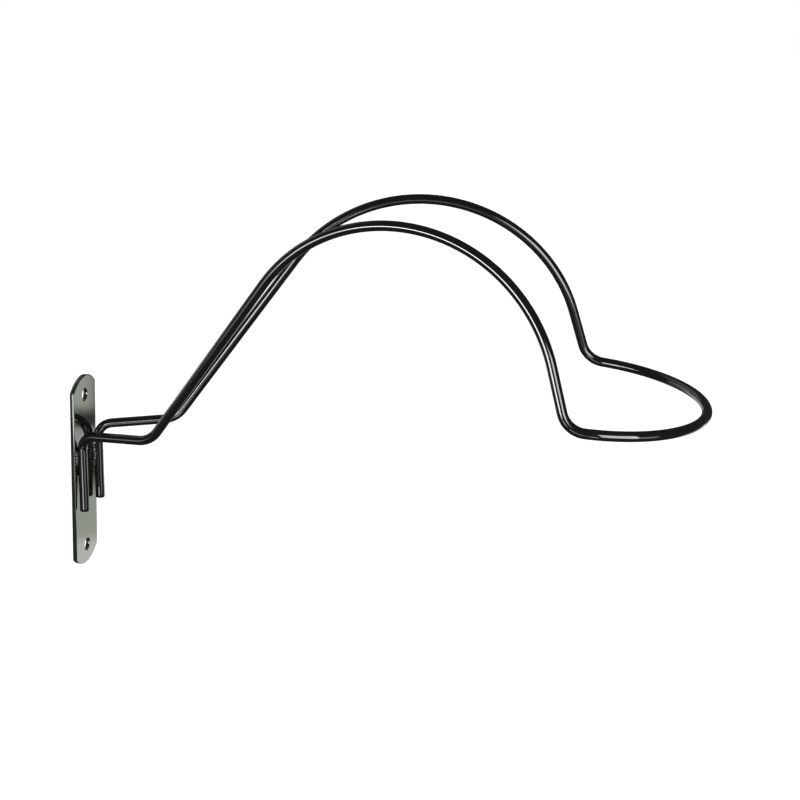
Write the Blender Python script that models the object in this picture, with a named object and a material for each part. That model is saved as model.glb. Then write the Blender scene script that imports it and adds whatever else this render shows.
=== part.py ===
"""Wall hook for a riding helmet: one bent steel rod welded by both ends to a wall plate.

Lengths are in metres, angles in degrees, and +Z is up. The origin is the centre of the
plate's back face, where it lies on the wall. +X points out of the wall and Y runs along
it. The hook is the same on both sides of the plane Y = 0.

From the wall outwards the rod has a leg, a heel bend, a short run, a knee, a straight
climb, the arch that carries the helmet's crown, a short drop, a toe bend and the hoop.
"""

import math

import bmesh
import bpy
import numpy as np
from mathutils import Matrix

# Rod: a round steel bar
ROD_DIAMETER = 0.006

# Side view of the rod, from the wall outwards. Angles are measured from the horizontal.
LEG_LENGTH = 0.0415
LEG_TOP_HEIGHT = 0.019
LEG_LEAN_ANGLE = 1.2
HEEL_RADIUS = 0.010
RUN_LENGTH = 0.0325
RUN_ANGLE = 7.0
KNEE_RADIUS = 0.018
CLIMB_LENGTH = 0.1235
CLIMB_ANGLE = 56.0
ARCH_RADIUS = 0.097
DROP_LENGTH = 0.024
DROP_ANGLE = -71.5
TOE_RADIUS = 0.015
HOOP_ANGLE = -2.5

# Spread of the two sides, between the rod's axes
LEG_SPACING = 0.0255
KNEE_SPACING = 0.0435
CLIMB_TOP_SPACING = 0.071
HOOP_RADIUS = 0.073
HOOP_TOE_IN_ANGLE = 5.7

# Wall plate: a flat strip with arched ends and a plain punched screw hole near each end
PLATE_MARGIN = 0.00125
PLATE_HEIGHT = 0.128
PLATE_THICKNESS = 0.0027
PLATE_END_RISE = 0.0075
PLATE_CORNER_RADIUS = 0.001
HOLE_INSET = 0.0125
SCREW_HOLE_DIAMETER = 0.0085

# Weld beads in the corners between the legs and the plate
INNER_BEAD_LENGTH = 0.019
OUTER_BEAD_LENGTH = 0.011
INNER_BEAD_REACH = 0.002
BEAD_EDGE_MARGIN = 0.0003
BEAD_ROOT_ANGLE = 6.0
BEAD_CLIMB_ANGLE = 45.0
BEAD_BULGE = 0.0002
BEAD_END_FULLNESS = 0.4

# Air left between pieces that touch
GAP = 0.0003

# Finishes: a name, a colour, a roughness and a metallic value
ROD_FINISH = ("gloss_black_enamel", (0.012, 0.012, 0.013), 0.14, 0.0)
PLATE_FINISH = ("satin_black_enamel", (0.055, 0.060, 0.052), 0.22, 0.6)
WELD_FINISH = ("painted_weld", (0.02, 0.02, 0.02), 0.3, 0.0)

# Fineness of the facets
ROD_SIDES = 16
STRAIGHT_STEP = 0.016
BEND_STEP_ANGLE = 8.0
ARCH_STEP_ANGLE = 5.0
HOLE_SIDES = 32
PLATE_END_STEPS = 14
CORNER_STEPS = 3
BEAD_STEPS = 8
BEAD_ARC_STEPS = 5
BEAD_FACE_STEPS = 3
SHARP_ANGLE = 40.0

# Sizes that follow from the driving dimensions
ROD_RADIUS = ROD_DIAMETER / 2
LEG_OFFSET = LEG_SPACING / 2
LEG_TOP_X = PLATE_THICKNESS + GAP + ROD_RADIUS
PLATE_WIDTH = LEG_SPACING + ROD_DIAMETER + 2 * PLATE_MARGIN
OUTER_BEAD_REACH = PLATE_MARGIN - BEAD_EDGE_MARGIN
HOLE_HEIGHT = PLATE_HEIGHT / 2 - HOLE_INSET
HOOP_SPLAY = -math.tan(math.radians(HOOP_TOE_IN_ANGLE))
HOOP_START_OFFSET = HOOP_RADIUS * math.cos(math.radians(HOOP_TOE_IN_ANGLE))


def clear_scene():
    """Remove every object, so that only the hook is left."""
    for leftover in list(bpy.data.objects):
        bpy.data.objects.remove(leftover, do_unlink=True)


def paint(finish):
    """The plain material of a finish, made when it is first asked for."""
    name, colour, roughness, metallic = finish
    if name in bpy.data.materials:
        return bpy.data.materials[name]
    material = bpy.data.materials.new(name)
    material.use_nodes = True
    shader = material.node_tree.nodes["Principled BSDF"]
    shader.inputs["Base Color"].default_value = (*colour, 1.0)
    shader.inputs["Roughness"].default_value = roughness
    shader.inputs["Metallic"].default_value = metallic
    return material


def add_object(name, data, finish):
    """Link a mesh or a curve into the scene under a name, with its finish."""
    data.materials.append(paint(finish))
    piece = bpy.data.objects.new(name, data)
    bpy.context.scene.collection.objects.link(piece)
    return piece


def mesh_from(name, bm):
    """Turn a bmesh into a mesh whose faces point outwards."""
    bmesh.ops.recalc_face_normals(bm, faces=bm.faces)
    mesh = bpy.data.meshes.new(name)
    bm.to_mesh(mesh)
    bm.free()
    return mesh


class SideView:
    """A pen that draws the rod's axis in the XZ plane and keeps the length drawn so far."""

    def __init__(self, x, z, heading):
        self.x, self.z, self.heading = x, z, heading
        self.length = 0.0
        self.points = [(x, z, 0.0)]

    def straight(self, length):
        """Draw a straight stretch along the present heading."""
        start_x, start_z, start = self.x, self.z, self.length
        steps = max(1, math.ceil(length / STRAIGHT_STEP))
        for step in range(1, steps + 1):
            drawn = length * step / steps
            self.x = start_x + drawn * math.cos(self.heading)
            self.z = start_z + drawn * math.sin(self.heading)
            self.length = start + drawn
            self.points.append((self.x, self.z, self.length))

    def bend_to(self, radius, angle, step_angle):
        """Draw an arc until the heading has reached the angle, and return its length."""
        turn = math.radians(angle) - self.heading
        side = math.copysign(radius, turn)
        centre_x = self.x - side * math.sin(self.heading)
        centre_z = self.z + side * math.cos(self.heading)
        start_heading, start = self.heading, self.length
        steps = max(2, math.ceil(abs(turn) / math.radians(step_angle)))
        for step in range(1, steps + 1):
            turned = turn * step / steps
            self.heading = start_heading + turned
            self.x = centre_x + side * math.sin(self.heading)
            self.z = centre_z - side * math.cos(self.heading)
            self.length = start + radius * abs(turned)
            self.points.append((self.x, self.z, self.length))
        return self.length - start


def splays(heel, knee, arch, toe):
    """How far each straight leans sideways for each length of rod: run, climb and drop.

    The arguments are the lengths of the bends. The lean changes evenly through a bend and
    not at all along a straight, and it brings the rod to the stated spacings.
    """
    to_knee = (KNEE_SPACING - LEG_SPACING) / 2
    run = to_knee / (heel / 2 + RUN_LENGTH)
    to_climb_top = (CLIMB_TOP_SPACING - KNEE_SPACING) / 2
    climb = (to_climb_top - run * knee / 2) / (knee / 2 + CLIMB_LENGTH)
    to_hoop = HOOP_START_OFFSET - CLIMB_TOP_SPACING / 2
    drop = (to_hoop - climb * arch / 2 - HOOP_SPLAY * toe / 2) / (arch / 2 + DROP_LENGTH + toe / 2)
    return run, climb, drop


def rod_axis():
    """Points on the rod's axis, from the end of one leg round the hoop to the other."""
    lean = math.radians(LEG_LEAN_ANGLE)
    foot_x = LEG_TOP_X + LEG_LENGTH * math.sin(lean)
    foot_z = LEG_TOP_HEIGHT - LEG_LENGTH * math.cos(lean)
    pen = SideView(foot_x, foot_z, math.pi / 2 + lean)
    pen.straight(LEG_LENGTH)
    heel = pen.bend_to(HEEL_RADIUS, RUN_ANGLE, BEND_STEP_ANGLE)
    pen.straight(RUN_LENGTH)
    knee = pen.bend_to(KNEE_RADIUS, CLIMB_ANGLE, BEND_STEP_ANGLE)
    pen.straight(CLIMB_LENGTH)
    arch = pen.bend_to(ARCH_RADIUS, DROP_ANGLE, ARCH_STEP_ANGLE)
    pen.straight(DROP_LENGTH)
    toe = pen.bend_to(TOE_RADIUS, HOOP_ANGLE, BEND_STEP_ANGLE)

    run_splay, climb_splay, drop_splay = splays(heel, knee, arch, toe)
    stretches = (LEG_LENGTH, heel, RUN_LENGTH, knee, CLIMB_LENGTH, arch, DROP_LENGTH, toe)
    end_splays = (0.0, run_splay, run_splay, climb_splay, climb_splay, drop_splay, drop_splay, HOOP_SPLAY)
    lengths = np.array([length for _, _, length in pen.points])
    splay = np.interp(lengths, np.cumsum(stretches), end_splays)
    sideways = np.diff(lengths) * (splay[1:] + splay[:-1]) / 2
    offsets = LEG_OFFSET + np.concatenate(([0.0], np.cumsum(sideways)))
    side = [(x, float(offset), z) for (x, z, _), offset in zip(pen.points, offsets)]

    start_angle = math.atan(-HOOP_SPLAY)
    quarter = math.pi / 2 - start_angle
    steps = math.ceil(quarter / math.radians(ARCH_STEP_ANGLE))
    hoop = []
    for step in range(1, 2 * steps):
        around = start_angle + quarter * step / steps
        ahead = HOOP_RADIUS * (math.sin(around) - math.sin(start_angle))
        across = HOOP_RADIUS * math.cos(around)
        hoop.append((pen.x + ahead * math.cos(pen.heading), across, pen.z + ahead * math.sin(pen.heading)))

    other_side = [(x, -y, z) for x, y, z in reversed(side)]
    return side + hoop + other_side


def hook_rod():
    """The one bent rod, both legs included, as a curve with a round section."""
    axis = rod_axis()
    curve = bpy.data.curves.new("hook_rod", "CURVE")
    curve.dimensions = "3D"
    curve.fill_mode = "FULL"
    curve.resolution_u = 1
    curve.render_resolution_u = 0
    curve.bevel_depth = ROD_RADIUS
    curve.bevel_resolution = ROD_SIDES // 2 - 2
    curve.use_fill_caps = True
    spline = curve.splines.new("POLY")
    spline.use_smooth = True
    spline.points.add(len(axis) - 1)
    for point, place in zip(spline.points, axis):
        point.co = (*place, 1.0)
    return add_object("hook_rod", curve, ROD_FINISH)


def plate_outline():
    """Corners of the plate's face in the YZ plane, counter-clockwise, with arched ends."""
    half_width = PLATE_WIDTH / 2
    arc_radius = (half_width ** 2 + PLATE_END_RISE ** 2) / (2 * PLATE_END_RISE)
    arc_centre = PLATE_HEIGHT / 2 - arc_radius
    half_sweep = math.asin(half_width / arc_radius)
    top = []
    for step in range(PLATE_END_STEPS + 1):
        around = half_sweep * (1 - 2 * step / PLATE_END_STEPS)
        top.append((arc_radius * math.sin(around), arc_centre + arc_radius * math.cos(around)))
    bottom = [(-y, -z) for y, z in top]
    return top + bottom


def screw_hole_cutter(name, height):
    """A round cutter that runs through the plate and past both of its faces."""
    bm = bmesh.new()
    bmesh.ops.create_cone(
        bm, cap_ends=True, segments=HOLE_SIDES, radius1=SCREW_HOLE_DIAMETER / 2,
        radius2=SCREW_HOLE_DIAMETER / 2, depth=3 * PLATE_THICKNESS,
        matrix=Matrix.Rotation(math.pi / 2, 4, "Y"),
    )
    cutter = add_object(name, mesh_from(name, bm), PLATE_FINISH)
    cutter.location = (PLATE_THICKNESS / 2, 0.0, height)
    cutter.hide_render = True
    cutter.display_type = "WIRE"
    return cutter


def wall_plate():
    """The flat plate that is screwed to the wall."""
    bm = bmesh.new()
    outline = [bm.verts.new((0.0, y, z)) for y, z in plate_outline()]
    bm.faces.new(outline)
    half = len(outline) // 2
    corners = [outline[0], outline[half - 1], outline[half], outline[-1]]
    bmesh.ops.bevel(
        bm, geom=corners, offset=PLATE_CORNER_RADIUS, segments=CORNER_STEPS,
        profile=0.5, affect="VERTICES",
    )
    extruded = bmesh.ops.extrude_face_region(bm, geom=list(bm.faces))
    front = [part for part in extruded["geom"] if isinstance(part, bmesh.types.BMVert)]
    bmesh.ops.translate(bm, verts=front, vec=(PLATE_THICKNESS, 0.0, 0.0))
    plate = add_object("wall_plate", mesh_from("wall_plate", bm), PLATE_FINISH)
    for name, height in (("upper_hole", HOLE_HEIGHT), ("lower_hole", -HOLE_HEIGHT)):
        hole = plate.modifiers.new(name, "BOOLEAN")
        hole.operation = "DIFFERENCE"
        hole.solver = "EXACT"
        hole.object = screw_hole_cutter(name, height)
    return plate


def bead_section(height, fullness, reach):
    """One level section of a weld bead, as (distance beside the leg's axis, X) corners.

    It starts at the root on the plate, climbs round the rod, and comes down the free face.
    """
    lean = math.tan(math.radians(LEG_LEAN_ANGLE))
    axis_x = LEG_TOP_X + (LEG_TOP_HEIGHT - height) * lean
    base_x = PLATE_THICKNESS + GAP
    inner_radius = ROD_RADIUS + GAP
    root_angle = math.acos(ROD_RADIUS / inner_radius) + math.radians(BEAD_ROOT_ANGLE)
    crest_angle = root_angle + fullness * math.radians(BEAD_CLIMB_ANGLE)
    root = inner_radius * math.sin(root_angle)
    toe = root + fullness * (ROD_RADIUS + reach - root)

    corners = [(root, base_x)]
    for step in range(BEAD_ARC_STEPS + 1):
        around = root_angle + (crest_angle - root_angle) * step / BEAD_ARC_STEPS
        corners.append((inner_radius * math.sin(around), axis_x - inner_radius * math.cos(around)))
    crest, crest_x = corners[-1]
    for step in range(1, BEAD_FACE_STEPS + 1):
        t = step / BEAD_FACE_STEPS
        bulge = 4 * t * (1 - t) * BEAD_BULGE * fullness
        corners.append((crest + (toe - crest) * t + bulge, crest_x + (base_x - crest_x) * t + bulge))
    return corners


def weld_bead(name, leg_side, bead_side, length, reach):
    """A weld bead beside one leg, running down from the top of its straight part.

    leg_side is the sign of the leg's Y, and bead_side the sign of the way from the leg.
    """
    bm = bmesh.new()
    rings = []
    for step in range(BEAD_STEPS + 1):
        t = step / BEAD_STEPS
        fullness = BEAD_END_FULLNESS + (1 - BEAD_END_FULLNESS) * math.sqrt(math.sin(math.pi * t))
        height = LEG_TOP_HEIGHT - length * t
        rings.append([
            bm.verts.new((x, leg_side * LEG_OFFSET + bead_side * beside, height))
            for beside, x in bead_section(height, fullness, reach)
        ])
    corner_count = len(rings[0])
    for upper, lower in zip(rings, rings[1:]):
        for corner in range(corner_count):
            after = (corner + 1) % corner_count
            bm.faces.new((upper[corner], upper[after], lower[after], lower[corner]))
    bm.faces.new(rings[0])
    bm.faces.new(rings[-1])
    bead = add_object(name, mesh_from(name, bm), WELD_FINISH)
    bead.data.shade_smooth()
    bead.data.set_sharp_from_angle(angle=math.radians(SHARP_ANGLE))
    return bead


def weld_beads():
    """An inner and an outer bead at each leg."""
    for leg, leg_side in (("near", -1), ("far", 1)):
        weld_bead(f"weld_{leg}_inner", leg_side, -leg_side, INNER_BEAD_LENGTH, INNER_BEAD_REACH)
        weld_bead(f"weld_{leg}_outer", leg_side, leg_side, OUTER_BEAD_LENGTH, OUTER_BEAD_REACH)


def build():
    """Make every piece of the hook."""
    clear_scene()
    wall_plate()
    hook_rod()
    weld_beads()


build()
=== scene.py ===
"""Looks of a wall hook for a riding helmet: a bent rod welded to a narrow wall plate.

Lengths are in metres and angles in degrees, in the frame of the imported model: the origin is
the centre of the plate's back face, +X points out of the wall, Y runs along it and +Z is up.
The near side of the hook is the one at -Y, towards the camera.
"""

import enum
import logging
import math
from collections.abc import Mapping, Sequence
from dataclasses import dataclass, field

import bmesh
import bpy
import numpy as np
from mathutils import Matrix, Vector


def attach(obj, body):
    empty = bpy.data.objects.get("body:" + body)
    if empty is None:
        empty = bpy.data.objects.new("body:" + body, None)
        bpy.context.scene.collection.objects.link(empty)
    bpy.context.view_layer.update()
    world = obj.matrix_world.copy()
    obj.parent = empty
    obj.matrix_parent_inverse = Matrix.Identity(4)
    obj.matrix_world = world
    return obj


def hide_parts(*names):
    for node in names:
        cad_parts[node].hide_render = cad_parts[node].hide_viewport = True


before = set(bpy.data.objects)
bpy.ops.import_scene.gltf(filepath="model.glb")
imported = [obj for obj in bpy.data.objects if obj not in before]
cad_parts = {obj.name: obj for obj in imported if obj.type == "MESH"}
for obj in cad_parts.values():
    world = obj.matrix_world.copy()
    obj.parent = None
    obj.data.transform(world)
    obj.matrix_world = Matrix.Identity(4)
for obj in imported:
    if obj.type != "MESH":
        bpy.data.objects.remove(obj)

BODY = "root"
MM = 0.001
DEGREES_PER_RADIAN = math.degrees(1)

WHITE = (1.0, 1.0, 1.0, 1.0)

NOISE_MEAN = 0.5
COARSE_DETAIL = 1.0
FINE_DETAIL = 3.0

MIXED_COLOUR = 2
"""The place of the colour among a Mix node's outputs."""

RANDOM_NUMBER = 1
"""The place of the number among a Random Value node's outputs."""

SOCKET_KINDS = {int: "NodeSocketInt", float: "NodeSocketFloat"}

INNER_SEED = 11
OUTER_SEED = 21
LUMP_SEED_STEP = 0.5

Colour = tuple[float, float, float]
Point = tuple[float, float, float]

log = logging.getLogger("helmet_hook")


class Leg(enum.Enum):
    """Which of the rod's two legs, with the sign of its Y."""

    NEAR = -1
    FAR = 1


class BeadSide(enum.Enum):
    """Which side of a leg a weld bead lies on, with the sign of the way from the middle."""

    INNER = -1
    OUTER = 1


class NoiseSeed(enum.Enum):
    """Which noise each part of an enamel's look reads, so that no two run alike."""

    PEEL = 1.0
    WAVES = 2.0
    CLOUD = 3.0
    PATCHES = 4.0
    DRAWN_LINES = 5.0
    PITS = 6.0


class Signal:
    """A number that flows through a node tree, on which Python's arithmetic works."""

    def __init__(self, tree: "TreeBuilder", socket: bpy.types.NodeSocket) -> None:
        """Wrap one output socket of a node in the tree."""
        self.tree = tree
        self.socket = socket

    def _math(self, operation: str, *operands: "Signal | float") -> "Signal":
        """Add a Math node for the operation on the operands."""
        return self.tree.signal(
            "ShaderNodeMath", {"operation": operation}, dict(enumerate(operands))
        )

    def __add__(self, other: "Signal | float") -> "Signal":
        """Return self + other."""
        return self._math("ADD", self, other)

    def __radd__(self, other: float) -> "Signal":
        """Return other + self."""
        return self._math("ADD", other, self)

    def __sub__(self, other: "Signal | float") -> "Signal":
        """Return self - other."""
        return self._math("SUBTRACT", self, other)

    def __rsub__(self, other: float) -> "Signal":
        """Return other - self."""
        return self._math("SUBTRACT", other, self)

    def __mul__(self, other: "Signal | float") -> "Signal":
        """Return self * other."""
        return self._math("MULTIPLY", self, other)

    def __rmul__(self, other: float) -> "Signal":
        """Return other * self."""
        return self._math("MULTIPLY", other, self)

    def __truediv__(self, other: "Signal | float") -> "Signal":
        """Return self / other."""
        return self._math("DIVIDE", self, other)

    def __pow__(self, other: "Signal | float") -> "Signal":
        """Return self ** other."""
        return self._math("POWER", self, other)

    def lower(self, other: "Signal | float") -> "Signal":
        """Return the lower of the two numbers."""
        return self._math("MINIMUM", self, other)

    def upper(self, other: "Signal | float") -> "Signal":
        """Return the higher of the two numbers."""
        return self._math("MAXIMUM", self, other)

    def sine(self) -> "Signal":
        """Return the sine of the number, taken as radians."""
        return self._math("SINE", self)

    def size(self) -> "Signal":
        """Return the number without its sign."""
        return self._math("ABSOLUTE", self)

    def arcsine(self) -> "Signal":
        """Return the angle in radians whose sine the number is."""
        return self._math("ARCSINE", self)

    def turn_from(self, other: "Signal") -> "Signal":
        """Return the angle in radians of the point (other, self) round the origin."""
        return self._math("ARCTAN2", self, other)

    def ease(self, low: float, high: float) -> "Signal":
        """Return 0 at low, 1 at high and a smooth step in between.

        Args:
            low: The number at which the step starts; it may be above high.
            high: The number at which the step is complete.

        Returns:
            The step, from 0 to 1.
        """
        return self.tree.signal(
            "ShaderNodeMapRange", {"interpolation_type": "SMOOTHSTEP"},
            {"Value": self, "From Min": low, "From Max": high},
        )


class TreeBuilder:
    """Adds nodes to a material's, a world's or a modifier's node tree."""

    def __init__(self, tree: bpy.types.NodeTree) -> None:
        """Start from an empty tree."""
        self.tree = tree
        tree.nodes.clear()

    def add(
        self, kind: str, settings: Mapping[str, object] | None = None,
        sockets: Mapping[str | int, object] | None = None,
    ) -> bpy.types.Node:
        """Add a node.

        Args:
            kind: The node's type.
            settings: Its properties, such as a Math node's operation, set first.
            sockets: A value, a socket or a signal for each input, by name, identifier or place.

        Returns:
            The new node.
        """
        node = self.tree.nodes.new(kind)
        for name, value in (settings or {}).items():
            setattr(node, name, value)
        for key, value in (sockets or {}).items():
            target = self._input(node, key)
            source = value.socket if isinstance(value, Signal) else value
            if isinstance(source, bpy.types.NodeSocket):
                self.tree.links.new(source, target)
            else:
                target.default_value = source
        return node

    def signal(
        self, kind: str, settings: Mapping[str, object] | None = None,
        sockets: Mapping[str | int, object] | None = None, output: str | int = 0,
    ) -> Signal:
        """Add a node and return one of its outputs as a signal.

        Args:
            kind: The node's type.
            settings: Its properties.
            sockets: Its inputs.
            output: The name or place of the output.

        Returns:
            The output.
        """
        return Signal(self, self.add(kind, settings, sockets).outputs[output])

    def noise(
        self, place: object, scale: float, detail: float = 2.0, roughness: float = 0.5,
        seed: float = 0.0,
    ) -> Signal:
        """Add smooth noise.

        Args:
            place: The vector at which it is read.
            scale: Its waves for each metre.
            detail: Its finer octaves.
            roughness: How much the finer octaves count.
            seed: Which noise it is.

        Returns:
            The noise, about 0.5 on average.
        """
        return self.signal(
            "ShaderNodeTexNoise", {"noise_dimensions": "4D"},
            {
                "Vector": place, "W": seed, "Scale": scale, "Detail": detail,
                "Roughness": roughness,
            },
        )

    def blend(self, share: object, first: object, second: object) -> bpy.types.NodeSocket:
        """Mix two colours, the second by the share, and return the result's socket."""
        mixed = self.add(
            "ShaderNodeMix", {"data_type": "RGBA"},
            {"Factor_Float": share, "A_Color": first, "B_Color": second},
        )
        return mixed.outputs[MIXED_COLOUR]

    def split(self, vector: object) -> list[Signal]:
        """Return a vector's X, Y and Z."""
        parts = self.add("ShaderNodeSeparateXYZ", None, {"Vector": vector}).outputs
        return [Signal(self, part) for part in parts]

    def joined(self, x: object, y: object, z: object) -> bpy.types.NodeSocket:
        """Return the vector of three numbers."""
        return self.add("ShaderNodeCombineXYZ", None, {"X": x, "Y": y, "Z": z}).outputs[0]

    @staticmethod
    def _input(node: bpy.types.Node, key: str | int) -> bpy.types.NodeSocket:
        """Find a node's input by its place, its identifier or its name."""
        if isinstance(key, int):
            return node.inputs[key]
        for socket in node.inputs:
            if socket.identifier == key:
                return socket
        return node.inputs[key]


def opaque(colour: Colour) -> tuple[float, float, float, float]:
    """Return a colour with full opacity."""
    return (*colour, 1.0)


def new_material(name: str) -> tuple[bpy.types.Material, TreeBuilder]:
    """Make a material, and return it with the builder of its tree."""
    material = bpy.data.materials.new(name)
    material.use_nodes = True
    return material, TreeBuilder(material.node_tree)


def new_object(name: str, data: bpy.types.ID) -> bpy.types.Object:
    """Link a mesh, a light or a camera into the scene as an object at the origin."""
    made = bpy.data.objects.new(name, data)
    bpy.context.scene.collection.objects.link(made)
    return made


def new_piece(name: str, mesh: bpy.types.Mesh) -> bpy.types.Object:
    """Link a finished mesh into the scene under a piece's name."""
    mesh.name = name
    return new_object(name, mesh)


@dataclass(frozen=True)
class Enamel:
    """Stoved black enamel: a dark ground under a glossy skin with a little orange peel.

    Heights are in metres, and scales are waves for each metre. A span is where a noise
    starts to count and where it counts in full.
    """

    name: str
    ground: Colour
    dust: Colour
    dust_share: float
    roughness: float
    haze: float
    refraction: float
    tint: Colour
    lacquer: float
    lacquer_roughness: float
    peel_scale: float
    peel_height: float
    wave_scale: float
    wave_height: float
    cloud_scale: float = 60.0
    mote_scale: float = 420.0
    mote_span: tuple[float, float] = (0.16, 0.09)
    mote_roughness: float = 0.25
    patch_scale: float = 90.0
    patch_span: tuple[float, float] = (0.56, 0.70)

    def material(self) -> bpy.types.Material:
        """Build the finish as a material."""
        material, tree = new_material(self.name)
        place = tree.add("ShaderNodeTexCoord").outputs["Object"]
        motes = self._motes(tree, place)
        cloud = tree.noise(place, self.cloud_scale, seed=NoiseSeed.CLOUD.value) - NOISE_MEAN
        dusty = motes * self.dust_share
        relief = tree.add(
            "ShaderNodeBump", None,
            {"Height": self.relief(tree, place), "Strength": 1.0, "Distance": 1.0},
        )
        shader = tree.add(
            "ShaderNodeBsdfPrincipled", None,
            {
                "Base Color": tree.blend(dusty, opaque(self.ground), opaque(self.dust)),
                "Roughness": self.roughness + cloud * self.haze + motes * self.mote_roughness,
                "IOR": self.refraction,
                "Specular Tint": opaque(self.tint),
                "Normal": relief.outputs[0],
                "Coat Weight": self.lacquer,
                "Coat Roughness": self.lacquer_roughness,
            },
        )
        tree.add("ShaderNodeOutputMaterial", None, {"Surface": shader.outputs[0]})
        return material

    def relief(self, tree: TreeBuilder, place: bpy.types.NodeSocket) -> Signal:
        """Return the height of the skin over the ground: orange peel on long, low waves."""
        peel = tree.noise(place, self.peel_scale, seed=NoiseSeed.PEEL.value) - NOISE_MEAN
        waves = tree.noise(
            place, self.wave_scale, COARSE_DETAIL, seed=NoiseSeed.WAVES.value
        ) - NOISE_MEAN
        return peel * self.peel_height + waves * self.wave_height

    def _motes(self, tree: TreeBuilder, place: bpy.types.NodeSocket) -> Signal:
        """Return 1 on the few motes of dust that the enamel caught, and 0 elsewhere."""
        cells = tree.signal(
            "ShaderNodeTexVoronoi", {"feature": "F1"},
            {"Vector": place, "Scale": self.mote_scale}, "Distance",
        )
        patches = tree.noise(place, self.patch_scale, seed=NoiseSeed.PATCHES.value)
        return cells.ease(*self.mote_span) * patches.ease(*self.patch_span)


@dataclass(frozen=True)
class DrawnBarEnamel(Enamel):
    """Enamel over cold-drawn bar, whose fine lines run along the rod under the paint."""

    line_scale: float = 2600.0
    line_height: float = 0.0000006
    line_stretch: float = 0.012

    def relief(self, tree: TreeBuilder, place: bpy.types.NodeSocket) -> Signal:
        """Return the skin's height with the bar's drawing lines showing faintly through."""
        ring = tree.add("ShaderNodeAttribute", {"attribute_name": "ring"}).outputs["Vector"]
        along = tree.signal("ShaderNodeAttribute", {"attribute_name": "along"}, None, "Fac")
        x, y, _ = tree.split(ring)
        stretched = tree.joined(x, y, along * self.line_stretch)
        lines = tree.noise(
            stretched, self.line_scale, COARSE_DETAIL, seed=NoiseSeed.DRAWN_LINES.value
        ) - NOISE_MEAN
        return super().relief(tree, place) + lines * self.line_height


@dataclass(frozen=True)
class WeldEnamel(Enamel):
    """Enamel pulled thin over a rough weld, with pits and scale under it."""

    pit_scale: float = 1500.0
    pit_height: float = 0.000025
    pit_roughness: float = 0.6

    def relief(self, tree: TreeBuilder, place: bpy.types.NodeSocket) -> Signal:
        """Return the skin's height with the weld's pits and scale."""
        pits = tree.noise(
            place, self.pit_scale, FINE_DETAIL, self.pit_roughness, NoiseSeed.PITS.value
        ) - NOISE_MEAN
        return super().relief(tree, place) + pits * self.pit_height


ROD_FINISH = DrawnBarEnamel(
    name="rod_enamel", ground=(0.0040, 0.0043, 0.0042), dust=(0.09, 0.09, 0.085), dust_share=0.3,
    roughness=0.075, haze=0.04, refraction=1.8, tint=(1.0, 1.0, 1.0), lacquer=0.0,
    lacquer_roughness=0.03,
    peel_scale=520.0, peel_height=0.0000012, wave_scale=45.0, wave_height=0.000006,
)
PLATE_FINISH = Enamel(
    name="plate_enamel", ground=(0.010, 0.013, 0.008), dust=(0.12, 0.12, 0.11), dust_share=0.3,
    roughness=0.055, haze=0.03, refraction=2.0, tint=(0.99, 1.0, 0.97), lacquer=1.0,
    lacquer_roughness=0.035,
    peel_scale=380.0, peel_height=0.0000008, wave_scale=50.0, wave_height=0.000004,
)
WELD_FINISH = WeldEnamel(
    name="weld_enamel", ground=(0.008, 0.008, 0.0075), dust=(0.12, 0.11, 0.10), dust_share=0.5,
    roughness=0.09, haze=0.04, refraction=1.8, tint=(1.0, 1.0, 1.0), lacquer=0.0,
    lacquer_roughness=0.03,
    peel_scale=900.0, peel_height=0.00001, wave_scale=300.0, wave_height=0.00003,
)


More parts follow.
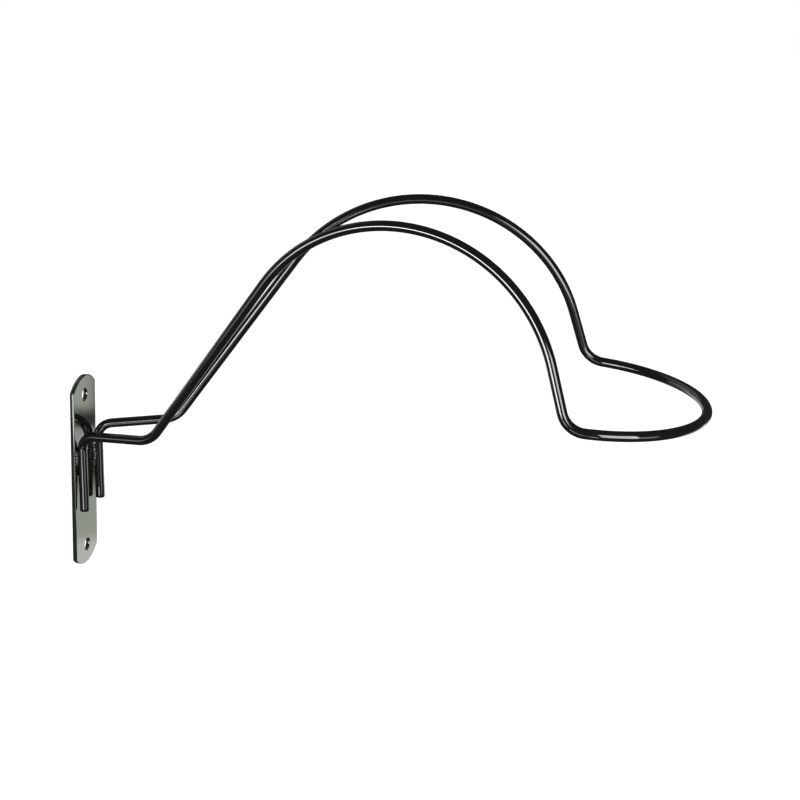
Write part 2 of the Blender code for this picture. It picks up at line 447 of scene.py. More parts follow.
class SweepTree:
    """A geometry tree with named inputs, which a modifier runs on a line of points."""

    def __init__(
        self, name: str, inputs: Mapping[str, float | int | bpy.types.Material]
    ) -> None:
        """Make the tree's sockets, one input for each named value."""
        self.group = bpy.data.node_groups.new(name, "GeometryNodeTree")
        self._socket("Geometry", "INPUT", "NodeSocketGeometry")
        self.values = dict(inputs)
        for label, value in inputs.items():
            self._socket(label, "INPUT", SOCKET_KINDS.get(type(value), "NodeSocketMaterial"))
        self._socket("Geometry", "OUTPUT", "NodeSocketGeometry")
        self.tree = TreeBuilder(self.group)
        self.entry = self.tree.add("NodeGroupInput")

    def _socket(self, label: str, way: str, kind: str) -> None:
        """Add a socket to the tree's interface."""
        self.group.interface.new_socket(label, in_out=way, socket_type=kind)

    def value(self, label: str) -> Signal:
        """Return a named input as a signal."""
        return Signal(self.tree, self.entry.outputs[label])

    def curve(self) -> bpy.types.NodeSocket:
        """Return the line of points as a curve."""
        line = {"Mesh": self.entry.outputs["Geometry"]}
        return self.tree.add("GeometryNodeMeshToCurve", None, line).outputs[0]

    def position(self) -> bpy.types.NodeSocket:
        """Return each point's place."""
        return self.tree.add("GeometryNodeInputPosition").outputs[0]

    def along(self) -> Signal:
        """Return each point's distance along the curve from its start."""
        return self.tree.signal("GeometryNodeSplineParameter", output="Length")

    def to_end(self, along: Signal) -> Signal:
        """Return each point's distance along the curve to the nearer end."""
        return along.lower(self.tree.signal("GeometryNodeSplineLength", output="Length") - along)

    def circle(self, radius: Signal) -> bpy.types.NodeSocket:
        """Return a round section of as many sides as the tree is given."""
        made = self.tree.add(
            "GeometryNodeCurvePrimitiveCircle", {"mode": "RADIUS"},
            {"Resolution": self.entry.outputs["Sides"], "Radius": radius},
        )
        return made.outputs[0]

    def swept(
        self, curve: bpy.types.NodeSocket, section: bpy.types.NodeSocket, scale: Signal
    ) -> bpy.types.NodeSocket:
        """Return the section swept along the curve, closed at both ends."""
        made = self.tree.add(
            "GeometryNodeCurveToMesh", None,
            {"Curve": curve, "Profile Curve": section, "Scale": scale, "Fill Caps": True},
        )
        return made.outputs[0]

    def moved(self, geometry: bpy.types.NodeSocket, **way: object) -> bpy.types.NodeSocket:
        """Return the geometry with its points moved by an Offset or to a Position."""
        moving = {"Geometry": geometry, **way}
        return self.tree.add("GeometryNodeSetPosition", None, moving).outputs[0]

    def draw(self, span: tuple[float, float], **more: object) -> Signal:
        """Return a random number in the span for each point, from the tree's seed."""
        low, high = span
        return self.tree.signal(
            "FunctionNodeRandomValue", {"data_type": "FLOAT"},
            {"Min_001": low, "Max_001": high, "Seed": self.entry.outputs["Seed"], **more},
            RANDOM_NUMBER,
        )

    def finish(self, geometry: bpy.types.NodeSocket) -> None:
        """End the tree: instances made real, shaded smooth, and the finish put on."""
        real = self.tree.add("GeometryNodeRealizeInstances", None, {"Geometry": geometry})
        smooth = self.tree.add("GeometryNodeSetShadeSmooth", None, {"Geometry": real.outputs[0]})
        dressed = self.tree.add(
            "GeometryNodeSetMaterial", None,
            {"Geometry": smooth.outputs[0], "Material": self.entry.outputs["Finish"]},
        )
        self.tree.add("NodeGroupOutput", None, {"Geometry": dressed.outputs[0]})

    def run(self, name: str, line: Sequence[Point]) -> bpy.types.Object:
        """Run the tree on a line of points.

        Args:
            name: The piece's name.
            line: The points of the line, in order.

        Returns:
            A piece with a plain mesh and no modifier.
        """
        mesh = bpy.data.meshes.new(name + "_line")
        mesh.from_pydata(line, [(i, i + 1) for i in range(len(line) - 1)], [])
        carrier = new_object(name + "_line", mesh)
        modifier = carrier.modifiers.new("sweep", "NODES")
        modifier.node_group = self.group
        for item in self.group.interface.items_tree:
            if item.in_out == "INPUT" and item.name in self.values:
                modifier[item.identifier] = self.values[item.name]
        evaluated = carrier.evaluated_get(bpy.context.evaluated_depsgraph_get())
        made = bpy.data.meshes.new_from_object(evaluated)
        bpy.data.objects.remove(carrier, do_unlink=True)
        return new_piece(name, made)


class AxisPen:
    """Draws the rod's axis in the XZ plane and keeps the length drawn so far."""

    def __init__(
        self, x: float, z: float, heading: float, step: float, step_angle: float
    ) -> None:
        """Start at a point with a heading in radians; the step's angle is in degrees."""
        self.x, self.z, self.heading = x, z, heading
        self.step, self.step_angle = step, step_angle
        self.length = 0.0
        self.points = [(x, z, 0.0)]

    def straight(self, length: float) -> float:
        """Draw a straight stretch and return its length."""
        start_x, start_z, start = self.x, self.z, self.length
        steps = max(1, math.ceil(length / self.step))
        for step in range(1, steps + 1):
            drawn = length * step / steps
            self.x = start_x + drawn * math.cos(self.heading)
            self.z = start_z + drawn * math.sin(self.heading)
            self.length = start + drawn
            self.points.append((self.x, self.z, self.length))
        return length

    def bend_to(self, radius: float, angle: float) -> float:
        """Draw an arc until the heading has reached the angle, and return its length."""
        turn = math.radians(angle) - self.heading
        side = math.copysign(radius, turn)
        centre_x = self.x - side * math.sin(self.heading)
        centre_z = self.z + side * math.cos(self.heading)
        start_heading, start = self.heading, self.length
        steps = max(2, math.ceil(abs(turn) / math.radians(self.step_angle)))
        for step in range(1, steps + 1):
            turned = turn * step / steps
            self.heading = start_heading + turned
            self.x = centre_x + side * math.sin(self.heading)
            self.z = centre_z - side * math.cos(self.heading)
            self.length = start + radius * abs(turned)
            self.points.append((self.x, self.z, self.length))
        return self.length - start


@dataclass
class WallPlate:
    """The flat plate that is screwed to the wall, with arched ends and two punched holes."""

    width: float = 34.0 * MM
    height: float = 128.0 * MM
    thickness: float = 2.7 * MM
    end_rise: float = 7.5 * MM
    corner_radius: float = 1.0 * MM
    hole_diameter: float = 8.5 * MM
    hole_inset: float = 12.5 * MM
    roll_over: float = 0.7 * MM
    roll_over_depth: float = 0.35 * MM
    hole_roll_over: float = 0.25 * MM
    hole_roll_over_depth: float = 0.18 * MM
    back_edge: float = 0.06 * MM
    face_margin: float = 1.2
    finish: Enamel = PLATE_FINISH
    end_steps: int = 48
    corner_steps: int = 8
    hole_steps: int = 72
    edge_steps: int = 12

    def build(self) -> bpy.types.Object:
        """Build the plate as one closed mesh."""
        bm = bmesh.new()
        outline = self._outline()
        outer = [
            self._ring(bm, self._drawn_in(outline, inset), x)
            for x, inset in self._edge_profile(self.roll_over, self.roll_over_depth)
        ]
        holes = []
        for sign in (1, -1):
            centre = sign * (self.height / 2 - self.hole_inset)
            holes.append([
                self._ring(bm, self._circle(centre, self.hole_diameter / 2 + inset), x)
                for x, inset in self._edge_profile(self.hole_roll_over, self.hole_roll_over_depth)
            ])
        for wall in [outer, *holes]:
            for lower, upper in zip(wall, wall[1:]):
                self._bridge(bm, lower, upper)
        for end in (0, -1):
            loops = [outer[end]] + [wall[end] for wall in holes]
            edges = [
                bm.edges.get((corner, after)) for loop in loops
                for corner, after in zip(loop, loop[1:] + loop[:1])
            ]
            bmesh.ops.triangle_fill(bm, use_beauty=True, use_dissolve=False, edges=edges)
        bmesh.ops.recalc_face_normals(bm, faces=bm.faces)
        mesh = bpy.data.meshes.new("wall_plate")
        bm.to_mesh(mesh)
        bm.free()
        mesh.shade_smooth()
        mesh.materials.append(self.finish.material())
        return new_piece("steel_wall_plate", mesh)

    def _edge_profile(self, roll_over: float, depth: float) -> list[tuple[float, float]]:
        """Return how a cut edge runs from the back face to the front one.

        The back edge is barely broken. The front one is rolled over, as shears and punches
        leave it, and the flat face starts at the face margin, counted in roll-overs.

        Args:
            roll_over: How far in from the edge the front face starts to fall away.
            depth: How far it has fallen at the edge.

        Returns:
            Pairs of X and the distance in from the edge.
        """
        profile = [(0.0, 2 * self.back_edge), (0.0, self.back_edge), (self.back_edge, 0.0)]
        for turn in np.linspace(0, math.pi / 2, self.edge_steps):
            profile.append((
                self.thickness - depth * (1 - math.sin(turn)), roll_over * (1 - math.cos(turn))
            ))
        profile.append((self.thickness, self.face_margin * roll_over))
        return profile

    def _outline(self) -> list[tuple[float, float]]:
        """Return the (Y, Z) outline, counter-clockwise, with its four corners rounded."""
        half_width = self.width / 2
        arc_radius = (half_width ** 2 + self.end_rise ** 2) / (2 * self.end_rise)
        arc_centre = self.height / 2 - arc_radius
        corner_centre_y = half_width - self.corner_radius
        inner_radius = arc_radius - self.corner_radius
        sweep = math.asin(corner_centre_y / inner_radius)
        corner_centre_z = arc_centre + inner_radius * math.cos(sweep)
        turns = np.linspace(0, math.pi / 2 - sweep, self.corner_steps)
        end = self._arc(corner_centre_y, corner_centre_z, self.corner_radius, turns)
        for around in np.linspace(sweep, -sweep, self.end_steps)[1:-1]:
            end.append((
                arc_radius * math.sin(around), arc_centre + arc_radius * math.cos(around)
            ))
        turns = np.linspace(math.pi / 2 + sweep, math.pi, self.corner_steps)
        end += self._arc(-corner_centre_y, corner_centre_z, self.corner_radius, turns)
        return end + [(-y, -z) for y, z in end]

    @staticmethod
    def _arc(
        centre_y: float, centre_z: float, radius: float, turns: Sequence[float]
    ) -> list[tuple[float, float]]:
        """Return the (Y, Z) points at some turns round a centre, in radians from +Y."""
        return [
            (centre_y + radius * math.cos(turn), centre_z + radius * math.sin(turn))
            for turn in turns
        ]

    @staticmethod
    def _drawn_in(
        outline: Sequence[tuple[float, float]], inset: float
    ) -> list[tuple[float, float]]:
        """Move an outline's corners inwards along the bisectors of its sides."""
        points = [Vector(point) for point in outline]
        moved = []
        for index, point in enumerate(points):
            before, after = points[index - 1], points[(index + 1) % len(points)]
            along = ((point - before).normalized() + (after - point).normalized()).normalized()
            inwards = Vector((-along.y, along.x))
            moved.append(tuple(point + inwards * inset))
        return moved

    def _circle(self, centre_z: float, radius: float) -> list[tuple[float, float]]:
        """Return the (Y, Z) points of a hole's rim."""
        turns = np.arange(self.hole_steps) * (2 * math.pi / self.hole_steps)
        return self._arc(0.0, centre_z, radius, turns)

    @staticmethod
    def _ring(
        bm: bmesh.types.BMesh, loop: Sequence[tuple[float, float]], x: float
    ) -> list[bmesh.types.BMVert]:
        """Add a closed ring of corners at a distance from the wall."""
        return [bm.verts.new((x, y, z)) for y, z in loop]

    @staticmethod
    def _bridge(
        bm: bmesh.types.BMesh, lower: Sequence[bmesh.types.BMVert],
        upper: Sequence[bmesh.types.BMVert],
    ) -> None:
        """Join two rings of as many corners with a band of faces."""
        count = len(lower)
        for index in range(count):
            after = (index + 1) % count
            bm.faces.new((lower[index], lower[after], upper[after], upper[index]))


@dataclass
class HookRod:
    """The one bent bar.

    Each side has a leg, a heel, a run, a knee, a climb, an arch, a drop and a toe, and the
    hoop joins the two sides.
    """

    plate: WallPlate
    diameter: float = 6.0 * MM
    gap: float = 0.3 * MM
    leg_length: float = 41.5 * MM
    leg_top_height: float = 19.0 * MM
    leg_lean: float = 1.2
    heel_radius: float = 10.0 * MM
    run_length: float = 32.5 * MM
    run_angle: float = 7.0
    knee_radius: float = 18.0 * MM
    climb_length: float = 123.5 * MM
    climb_angle: float = 56.0
    arch_radius: float = 97.0 * MM
    drop_length: float = 24.0 * MM
    drop_angle: float = -71.5
    toe_radius: float = 15.0 * MM
    hoop_angle: float = -2.5
    leg_spacing: float = 25.5 * MM
    knee_spacing: float = 43.5 * MM
    climb_top_spacing: float = 71.0 * MM
    hoop_radius: float = 73.0 * MM
    hoop_toe_in: float = 5.7
    end_break: float = 0.45 * MM
    finish: Enamel = ROD_FINISH
    sides: int = 56
    straight_step: float = 2.5 * MM
    bend_step: float = 3.0
    arch_step: float = 1.25
    break_steps: int = 6

    @property
    def radius(self) -> float:
        """The bar's radius."""
        return self.diameter / 2

    @property
    def leg_top_x(self) -> float:
        """How far the leg's axis is from the wall at its top."""
        return self.plate.thickness + self.gap + self.radius

    @property
    def leg_offset(self) -> float:
        """How far the leg's axis is from the middle plane."""
        return self.leg_spacing / 2

    def axis(self) -> list[Point]:
        """Return the rod's axis from the end of the near leg round the hoop to the far one."""
        lean = math.radians(self.leg_lean)
        pen = AxisPen(
            self.leg_top_x + self.leg_length * math.sin(lean),
            self.leg_top_height - self.leg_length * math.cos(lean),
            math.pi / 2 + lean, self.straight_step, self.bend_step,
        )
        leg = pen.straight(self.leg_length)
        heel = pen.bend_to(self.heel_radius, self.run_angle)
        run = pen.straight(self.run_length)
        knee = pen.bend_to(self.knee_radius, self.climb_angle)
        climb = pen.straight(self.climb_length)
        pen.step_angle = self.arch_step
        arch = pen.bend_to(self.arch_radius, self.drop_angle)
        drop = pen.straight(self.drop_length)
        pen.step_angle = self.bend_step
        toe = pen.bend_to(self.toe_radius, self.hoop_angle)

        hoop_splay = -math.tan(math.radians(self.hoop_toe_in))
        run_splay, climb_splay, drop_splay = self._splays(heel, knee, arch, toe, hoop_splay)
        stretches = (leg, heel, run, knee, climb, arch, drop, toe)
        end_splays = (
            0.0, run_splay, run_splay, climb_splay, climb_splay, drop_splay, drop_splay,
            hoop_splay,
        )
        lengths = np.array([length for _, _, length in pen.points])
        splay = np.interp(lengths, np.cumsum(stretches), end_splays)
        sideways = np.diff(lengths) * (splay[1:] + splay[:-1]) / 2
        offsets = self.leg_offset + np.concatenate(([0.0], np.cumsum(sideways)))
        far_side = [(x, float(offset), z) for (x, z, _), offset in zip(pen.points, offsets)]
        far_side = self._with_break(far_side)
        near_side = [(x, -y, z) for x, y, z in far_side]
        return near_side + self._hoop(pen, hoop_splay)[::-1] + far_side[::-1]

    def _splays(
        self, heel: float, knee: float, arch: float, toe: float, hoop_splay: float
    ) -> tuple[float, float, float]:
        """Return how far the run, climb and drop lean sideways for each length of rod.

        Args:
            heel: The heel bend's length.
            knee: The knee bend's length.
            arch: The arch's length.
            toe: The toe bend's length.
            hoop_splay: The lean with which the hoop starts.

        Returns:
            The leans that bring the rod to its spacings, changing evenly through the bends.
        """
        to_knee = (self.knee_spacing - self.leg_spacing) / 2
        run = to_knee / (heel / 2 + self.run_length)
        to_climb_top = (self.climb_top_spacing - self.knee_spacing) / 2
        climb = (to_climb_top - run * knee / 2) / (knee / 2 + self.climb_length)
        hoop_start = self.hoop_radius * math.cos(math.radians(self.hoop_toe_in))
        to_hoop = hoop_start - self.climb_top_spacing / 2
        in_drop = to_hoop - climb * arch / 2 - hoop_splay * toe / 2
        drop = in_drop / (arch / 2 + self.drop_length + toe / 2)
        return run, climb, drop

    def _hoop(self, pen: AxisPen, hoop_splay: float) -> list[Point]:
        """Return the points of the hoop, from just past the far side's end to the near one's."""
        start_angle = math.atan(-hoop_splay)
        quarter = math.pi / 2 - start_angle
        steps = math.ceil(quarter / math.radians(self.arch_step))
        ahead_x, ahead_z = math.cos(pen.heading), math.sin(pen.heading)
        points = []
        for step in range(1, 2 * steps):
            around = start_angle + quarter * step / steps
            ahead = self.hoop_radius * (math.sin(around) - math.sin(start_angle))
            across = self.hoop_radius * math.cos(around)
            points.append((pen.x + ahead * ahead_x, across, pen.z + ahead * ahead_z))
        return points

    def _with_break(self, side: list[Point]) -> list[Point]:
        """Add points close to the leg's end, where the broken edge needs them."""
        start, after = Vector(side[0]), Vector(side[1])
        along = (after - start).normalized()
        turns = np.linspace(0, math.pi / 2, self.break_steps + 1)[1:]
        extra = [tuple(start + along * self.end_break * (1 - math.cos(turn))) for turn in turns]
        return [side[0], *extra, *side[1:]]

    def build(self) -> bpy.types.Object:
        """Sweep the bar along its axis."""
        sweep = SweepTree(
            "bar_sweep",
            {
                "Bar Radius": self.radius, "End Break": self.end_break, "Sides": self.sides,
                "Finish": self.finish.material(),
            },
        )
        tree = sweep.tree
        along = sweep.along()
        drawn_in = (1 - sweep.to_end(along) / sweep.value("End Break")).upper(0.0)
        kept = (1 - drawn_in * drawn_in).upper(0.0) ** 0.5
        scale = 1 - (1 - kept) * sweep.value("End Break") / sweep.value("Bar Radius")
        marked = tree.add(
            "GeometryNodeStoreNamedAttribute", {"data_type": "FLOAT", "domain": "POINT"},
            {"Geometry": sweep.curve(), "Name": "along", "Value": along},
        )
        section = tree.add(
            "GeometryNodeStoreNamedAttribute", {"data_type": "FLOAT_VECTOR", "domain": "POINT"},
            {
                "Geometry": sweep.circle(sweep.value("Bar Radius")), "Name": "ring",
                "Value": sweep.position(),
            },
        )
        sweep.finish(sweep.swept(marked.outputs[0], section.outputs[0], scale))
        return sweep.run("bent_hook_rod", self.axis())


@dataclass
class WeldBead:
    """A rippled bead of weld in the corner between a leg and the plate.

    The seam height and the deepest place are shares of the bead's radius and of the plate's
    thickness. The balls' spread and sizes are shares of their reach and radius.
    """

    rod: HookRod
    leg: Leg
    side: BeadSide
    length: float
    radius: float
    offset: float
    seed: int
    seam_height: float = 0.55
    deepest: float = 0.5
    end_fullness: float = 1.02
    ripple_pitch: float = 2.1 * MM
    ripple_depth: float = 0.16
    ripple_roundness: float = 0.6
    wobble_scale: float = 260.0
    wobble_reach: float = 1.2 * MM
    roughness: float = 0.55 * MM
    lump_scale: float = 420.0
    blob_place: float = 0.0
    blob_reach: float = 3.4 * MM
    blob_swell: float = 0.0
    sides: int = 36
    step: float = 0.2 * MM
    spatter_count: int = 5
    spatter_reach: float = 2.2 * MM
    spatter_spread: tuple[float, float] = (0.6, 1.0)
    ball_radius: float = 0.3 * MM
    ball_sizes: tuple[float, float] = (0.4, 1.0)
    ball_subdivisions: int = 2
    ball_draw: int = 7

    @property
    def name(self) -> str:
        """The name of the CAD node that the bead stands for."""
        return f"weld_{self.leg.name.lower()}_{self.side.name.lower()}"

    def build(self, finish: bpy.types.Material) -> bpy.types.Object:
        """Sweep the bead down its seam, with its ripples and a few balls of spatter."""
        sweep = SweepTree(
            self.name + "_sweep",
            {
                "Bead Radius": self.radius, "Ripple Pitch": self.ripple_pitch,
                "Ripple Depth": self.ripple_depth, "Roughness": self.roughness,
                "Blob Place": self.blob_place, "Blob Reach": self.blob_reach,
                "Blob Swell": self.blob_swell,
                "Sides": self.sides, "Plate Face": self.rod.plate.thickness,
                "Spatter Count": self.spatter_count, "Spatter Reach": self.spatter_reach,
                "Seed": self.seed, "Finish": finish,
            },
        )
        curve = sweep.curve()
        both = sweep.tree.add("GeometryNodeJoinGeometry")
        for part in (self._bead(sweep, curve), self._spatter(sweep, curve)):
            sweep.tree.tree.links.new(part, both.inputs[0])
        sweep.finish(both.outputs[0])
        return sweep.run(self.name + "_bead", self._seam())

    def _seam(self) -> list[Point]:
        """Return the seam's points, from the top of the leg's straight part downwards."""
        y = self.leg.value * (self.rod.leg_offset + self.side.value * self.offset)
        x = self.rod.plate.thickness + self.seam_height * self.radius
        steps = math.ceil(self.length / self.step)
        top = self.rod.leg_top_height
        return [(x, y, top - self.length * step / steps) for step in range(steps + 1)]

    def _bead(self, sweep: SweepTree, curve: bpy.types.NodeSocket) -> bpy.types.NodeSocket:
        """Add the nodes of the rippled bead itself."""
        tree = sweep.tree
        radius = sweep.value("Bead Radius")
        along = sweep.along()
        drawn_in = (1 - sweep.to_end(along) / radius).upper(0.0)
        rounded = (self.end_fullness - drawn_in * drawn_in).upper(0.0) ** 0.5
        place = sweep.position()
        wobble = tree.noise(place, self.wobble_scale, seed=float(self.seed)) - NOISE_MEAN
        phase = (along + wobble * self.wobble_reach) / sweep.value("Ripple Pitch") * math.pi
        scallop = phase.sine().size() ** self.ripple_roundness
        from_blob = (along - sweep.value("Blob Place")).size() / sweep.value("Blob Reach")
        blob = (1 - from_blob * from_blob).upper(0.0) ** 0.5 * sweep.value("Blob Swell")
        scale = rounded * (1 - (1 - scallop) * sweep.value("Ripple Depth")) * (1 + blob)
        lumps = tree.noise(
            place, self.lump_scale, FINE_DETAIL, seed=self.seed + LUMP_SEED_STEP
        ) - NOISE_MEAN
        push = lumps / NOISE_MEAN * sweep.value("Roughness")
        offset = tree.add(
            "ShaderNodeVectorMath", {"operation": "SCALE"},
            {"Vector": tree.add("GeometryNodeInputNormal").outputs[0], "Scale": push},
        )
        swept = sweep.swept(curve, sweep.circle(radius), scale)
        lumpy = sweep.moved(swept, Offset=offset.outputs[0])
        x, y, z = tree.split(place)
        kept_in = tree.joined(x.upper(sweep.value("Plate Face") * self.deepest), y, z)
        return sweep.moved(lumpy, Position=kept_in)

    def _spatter(self, sweep: SweepTree, curve: bpy.types.NodeSocket) -> bpy.types.NodeSocket:
        """Add the nodes of the small balls of metal that spat out on to the plate."""
        tree = sweep.tree
        points = tree.add(
            "GeometryNodeCurveToPoints", {"mode": "COUNT"},
            {"Curve": curve, "Count": sweep.entry.outputs["Spatter Count"]},
        )
        sideways = sweep.draw(self.spatter_spread) * sweep.value("Spatter Reach")
        _, y, z = tree.split(sweep.position())
        outwards = float(self.leg.value * self.side.value)
        on_plate = tree.joined(sweep.value("Plate Face"), y + sideways * outwards, z)
        spread = sweep.moved(points.outputs[0], Position=on_plate)
        ball = tree.add(
            "GeometryNodeMeshIcoSphere", None,
            {"Radius": self.ball_radius, "Subdivisions": self.ball_subdivisions},
        )
        size = sweep.draw(self.ball_sizes, ID=self.ball_draw)
        balls = tree.add(
            "GeometryNodeInstanceOnPoints", None,
            {"Points": spread, "Instance": ball.outputs[0], "Scale": size},
        )
        return balls.outputs[0]


@dataclass(frozen=True)
class Softbox:
    """A rectangular studio lamp that faces the hook."""

    name: str
    azimuth: float
    elevation: float
    distance: float
    width: float
    height: float
    radiance: float

    def place(self, target: Vector) -> bpy.types.Object:
        """Stand the lamp in its direction from the target, facing it.

        Args:
            target: What the lamp is aimed at. Azimuth 0 is its -Y side and 90 its +X side.

        Returns:
            The lamp, which the camera doesn't see.
        """
        around, above = math.radians(self.azimuth), math.radians(self.elevation)
        level = math.cos(above)
        towards = Vector((math.sin(around) * level, -math.cos(around) * level, math.sin(above)))
        light = bpy.data.lights.new(self.name, "AREA")
        light.shape = "RECTANGLE"
        light.size = self.width
        light.size_y = self.height
        light.energy = self.radiance * math.pi * self.width * self.height
        lamp = new_object(self.name, light)
        lamp.location = target + towards * self.distance
        lamp.rotation_euler = towards.to_track_quat("Z", "Y").to_euler()
        lamp.visible_camera = False
        return lamp


@dataclass(frozen=True)
class ReflectorCard:
    """A far-off pale card or wall, which only the enamel's gloss shows."""

    name: str
    azimuth: float
    elevation: float
    half_width: float
    half_height: float
    softness: float
    strength: float

    def add(self, tree: TreeBuilder, azimuth: Signal, elevation: Signal) -> Signal:
        """Add the card's light to a world tree.

        Args:
            tree: The world's tree.
            azimuth: The direction looked at, 0 being the -Y side and 90 the +X side.
            elevation: Its height over the horizon.

        Returns:
            The card's strength in that direction.
        """
        sideways = (azimuth - self.azimuth).size()
        upwards = (elevation - self.elevation).size()
        across = sideways.ease(self.half_width + self.softness, self.half_width - self.softness)
        above = upwards.ease(self.half_height + self.softness, self.half_height - self.softness)
        return across * above * self.strength


@dataclass
class Studio:
    """A pale floor below the hook, a white background, softboxes, far cards and the camera.

    A card's numbers are its azimuth, elevation, half width, half height and softness in
    degrees, and its strength. A softbox's are its azimuth and elevation in degrees, its
    distance, width and height in metres, and its radiance.
    """

    target: Point = (0.2, 0.0, 0.06)
    floor_height: float = -0.35
    floor_half_width: float = 9.0
    floor_colour: Colour = (0.8, 0.8, 0.8)
    floor_glow: float = 0.62
    wash_strength: float = 1.2
    wash_angle: float = 12.0
    fill: float = 0.25
    dim: float = 0.05
    camera_place: Point = (0.358347, -0.830026, 0.343691)
    camera_heading: float = 10.398
    camera_tilt: float = -17.925
    camera_roll: float = 3.020
    focal_length: float = 65.776
    cards: Sequence[ReflectorCard] = field(default_factory=lambda: (
        ReflectorCard("low_strip", -3.5, -22.0, 9.0, 2.25, 1.0, 6.2),
        ReflectorCard("left_inner", -26.2, -5.2, 2.9, 4.0, 1.0, 12.0),
        ReflectorCard("left_under", -32.4, -14.6, 3.6, 2.7, 1.0, 3.7),
        ReflectorCard("middle_under", -18.2, -14.6, 4.1, 4.0, 1.0, 6.2),
        ReflectorCard("edge_strip", -23.3, -15.0, 2.5, 6.5, 0.5, 1.4),
        ReflectorCard("left_outer", -47.0, -4.0, 3.0, 8.0, 2.0, 1.9),
        ReflectorCard("foot_spot", 17.0, -36.8, 3.6, 3.4, 1.0, 5.9),
        ReflectorCard("right_glow", 62.0, -10.0, 12.5, 11.5, 3.0, 1.7),
        ReflectorCard("left_band", -103.0, 2.1, 18.0, 3.6, 1.5, 1.4),
        ReflectorCard("left_wall", -118.0, 8.0, 26.0, 42.0, 12.0, 0.4),
        ReflectorCard("under_arch", 9.0, -26.0, 5.5, 12.0, 3.0, 0.6),
        ReflectorCard("behind_left", -142.0, -18.0, 24.0, 11.0, 3.0, 0.75),
        ReflectorCard("leg_glow", 145.0, -20.5, 8.0, 2.5, 1.5, 1.5),
        ReflectorCard("table_edge", 157.0, -19.8, 18.0, 0.6, 0.12, 0.75),
        ReflectorCard("table_front", 157.0, -33.45, 22.0, 10.0, 0.25, 0.45),
    ))
    green_cards: Sequence[ReflectorCard] = field(default_factory=lambda: (
        ReflectorCard("back_wall", 147.2, -15.9, 10.0, 2.6, 0.3, 0.87),
        ReflectorCard("table", 157.0, -31.35, 22.0, 10.0, 0.55, 0.77),
    ))
    green: Colour = (0.93, 1.0, 0.855)
    softboxes: Sequence[Softbox] = field(default_factory=lambda: (
        Softbox("left_softbox", -23.4, 2.8, 0.82, 0.521, 0.194, 9.0),
        Softbox("right_softbox", 43.2, 4.3, 0.82, 0.424, 0.589, 6.0),
    ))

    def build(self) -> None:
        """Put up the whole studio."""
        scene = bpy.context.scene
        scene.view_settings.view_transform = "Standard"
        self._floor()
        self._world()
        for softbox in self.softboxes:
            softbox.place(Vector(self.target))
        self._wash()
        scene.camera = self._camera()

    def _camera(self) -> bpy.types.Object:
        """Stand the camera where the photograph was taken from."""
        angles = (self.camera_heading, self.camera_tilt, self.camera_roll)
        heading, tilt, roll = (math.radians(angle) for angle in angles)
        level = math.cos(tilt)
        forward = Vector((-math.sin(heading) * level, math.cos(heading) * level, math.sin(tilt)))
        right = Vector((math.cos(heading), math.sin(heading), 0.0))
        up = right.cross(forward)
        rolled_right = right * math.cos(roll) + up * math.sin(roll)
        rolled_up = up * math.cos(roll) - right * math.sin(roll)
        turn = Matrix((rolled_right, rolled_up, -forward)).transposed()
        data = bpy.data.cameras.new("photo_camera")
        data.lens = self.focal_length
        camera = new_object("photo_camera", data)
        camera.matrix_world = Matrix.Translation(self.camera_place) @ turn.to_4x4()
        return camera

    def _wash(self) -> None:
        """Hang the overhead wash, which lights the floor and lays the hook's shadow on it."""
        light = bpy.data.lights.new("ceiling_wash", "SUN")
        light.energy = self.wash_strength
        light.angle = math.radians(self.wash_angle)
        new_object("ceiling_wash", light).visible_glossy = False

    def _floor(self) -> None:
        """Lay the pale floor, which is white to the camera where the hook doesn't shade it."""
        half = self.floor_half_width
        mesh = bpy.data.meshes.new("studio_floor")
        corners = [(-half, -half), (half, -half), (half, half), (-half, half)]
        mesh.from_pydata([(x, y, self.floor_height) for x, y in corners], [], [(0, 1, 2, 3)])
        material, tree = new_material("pale_floor")
        camera = Signal(tree, tree.add("ShaderNodeLightPath").outputs["Is Camera Ray"])
        matt = tree.add("ShaderNodeBsdfDiffuse", None, {"Color": opaque(self.floor_colour)})
        glow = tree.add(
            "ShaderNodeEmission", None, {"Color": WHITE, "Strength": camera * self.floor_glow}
        )
        both = tree.add("ShaderNodeAddShader", None, {0: matt.outputs[0], 1: glow.outputs[0]})
        tree.add("ShaderNodeOutputMaterial", None, {"Surface": both.outputs[0]})
        mesh.materials.append(material)
        floor = new_piece("studio_floor", mesh)
        floor.visible_glossy = False

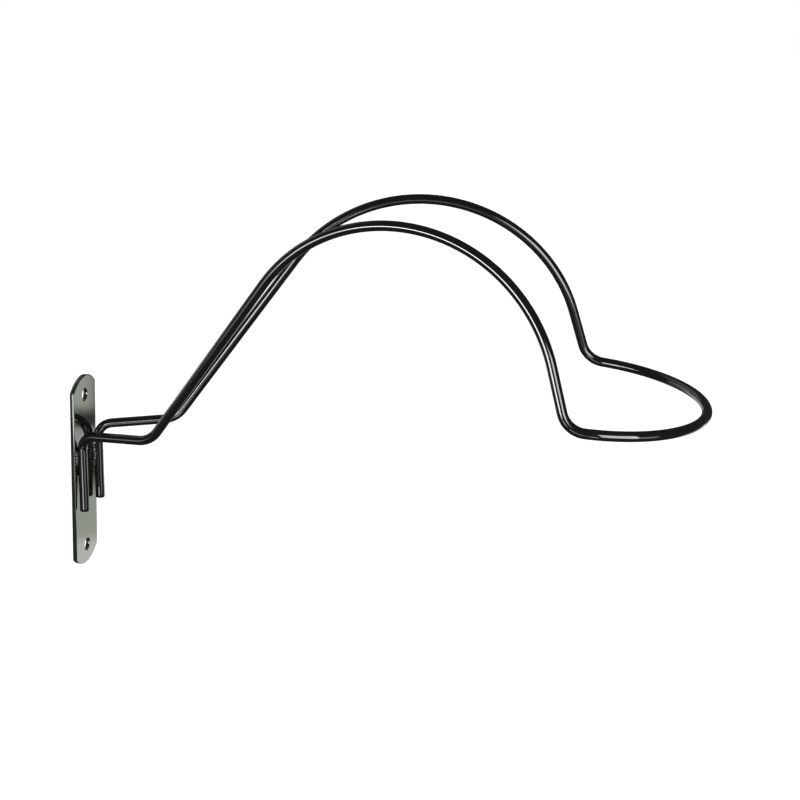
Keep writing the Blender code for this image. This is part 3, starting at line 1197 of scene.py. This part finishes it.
    def _world(self) -> None:
        """Make the surroundings: white to the camera, dim with pale cards in the gloss."""
        world = bpy.data.worlds.new("studio")
        world.use_nodes = True
        bpy.context.scene.world = world
        tree = TreeBuilder(world.node_tree)
        rays = tree.add("ShaderNodeLightPath")
        camera = Signal(tree, rays.outputs["Is Camera Ray"])
        mirrored = Signal(tree, rays.outputs["Is Glossy Ray"]).upper(
            Signal(tree, rays.outputs["Is Transmission Ray"])
        )
        towards = tree.add("ShaderNodeTexCoord").outputs["Generated"]
        x, y, z = tree.split(towards)
        azimuth = x.turn_from(y * -1) * DEGREES_PER_RADIAN
        elevation = z.arcsine() * DEGREES_PER_RADIAN
        white = sum((card.add(tree, azimuth, elevation) for card in self.cards), start=self.dim)
        green = sum((card.add(tree, azimuth, elevation) for card in self.green_cards), start=0.0)
        gloss = white + green
        strength = camera + (1 - camera) * (mirrored * gloss + (1 - mirrored) * self.fill)
        colour = tree.blend(mirrored * green / gloss, WHITE, opaque(self.green))
        background = tree.add(
            "ShaderNodeBackground", None, {"Color": colour, "Strength": strength}
        )
        tree.add("ShaderNodeOutputWorld", None, {"Surface": background.outputs[0]})


@dataclass
class HelmetHook:
    """The whole hook: plate, rod and the four weld beads."""

    plate: WallPlate = field(default_factory=WallPlate)

    def build(self) -> None:
        """Build and dress every piece, hang each on the body and hide the CAD node that it stands
        for.
        """
        rod = HookRod(self.plate)
        self._place(self.plate.build(), "wall_plate", "plate_enamel")
        self._place(rod.build(), "hook_rod", "rod_enamel")
        weld = WELD_FINISH.material()
        for number, leg in enumerate(Leg):
            inner = WeldBead(
                rod, leg, BeadSide.INNER, length=19.0 * MM, radius=2.3 * MM, offset=3.2 * MM,
                seed=INNER_SEED + number, roughness=0.5 * MM, lump_scale=340.0,
                blob_place=11.0 * MM, blob_swell=0.5,
            )
            outer = WeldBead(
                rod, leg, BeadSide.OUTER, length=11.0 * MM, radius=1.15 * MM, offset=2.9 * MM,
                seed=OUTER_SEED + number, spatter_count=3, spatter_reach=0.9 * MM,
            )
            for bead in (inner, outer):
                self._place(bead.build(weld), bead.name, "weld_enamel")

    @staticmethod
    def _place(piece: bpy.types.Object, node: str, slot: str) -> None:
        """Let a piece ride on the body in place of its CAD node.

        Args:
            piece: The finished piece.
            node: The CAD node that it stands for.
            slot: The material slot's name, which is not used.
        """
        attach(piece, BODY)
        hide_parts(node)
        log.info("%s stands for %s: %d faces", piece.name, node, len(piece.data.polygons))


def main() -> None:
    """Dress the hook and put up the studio."""
    logging.basicConfig(level=logging.INFO, format="%(name)s: %(message)s")
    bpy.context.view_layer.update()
    HelmetHook().build()
    Studio().build()


if __name__ == "__main__":
    main()
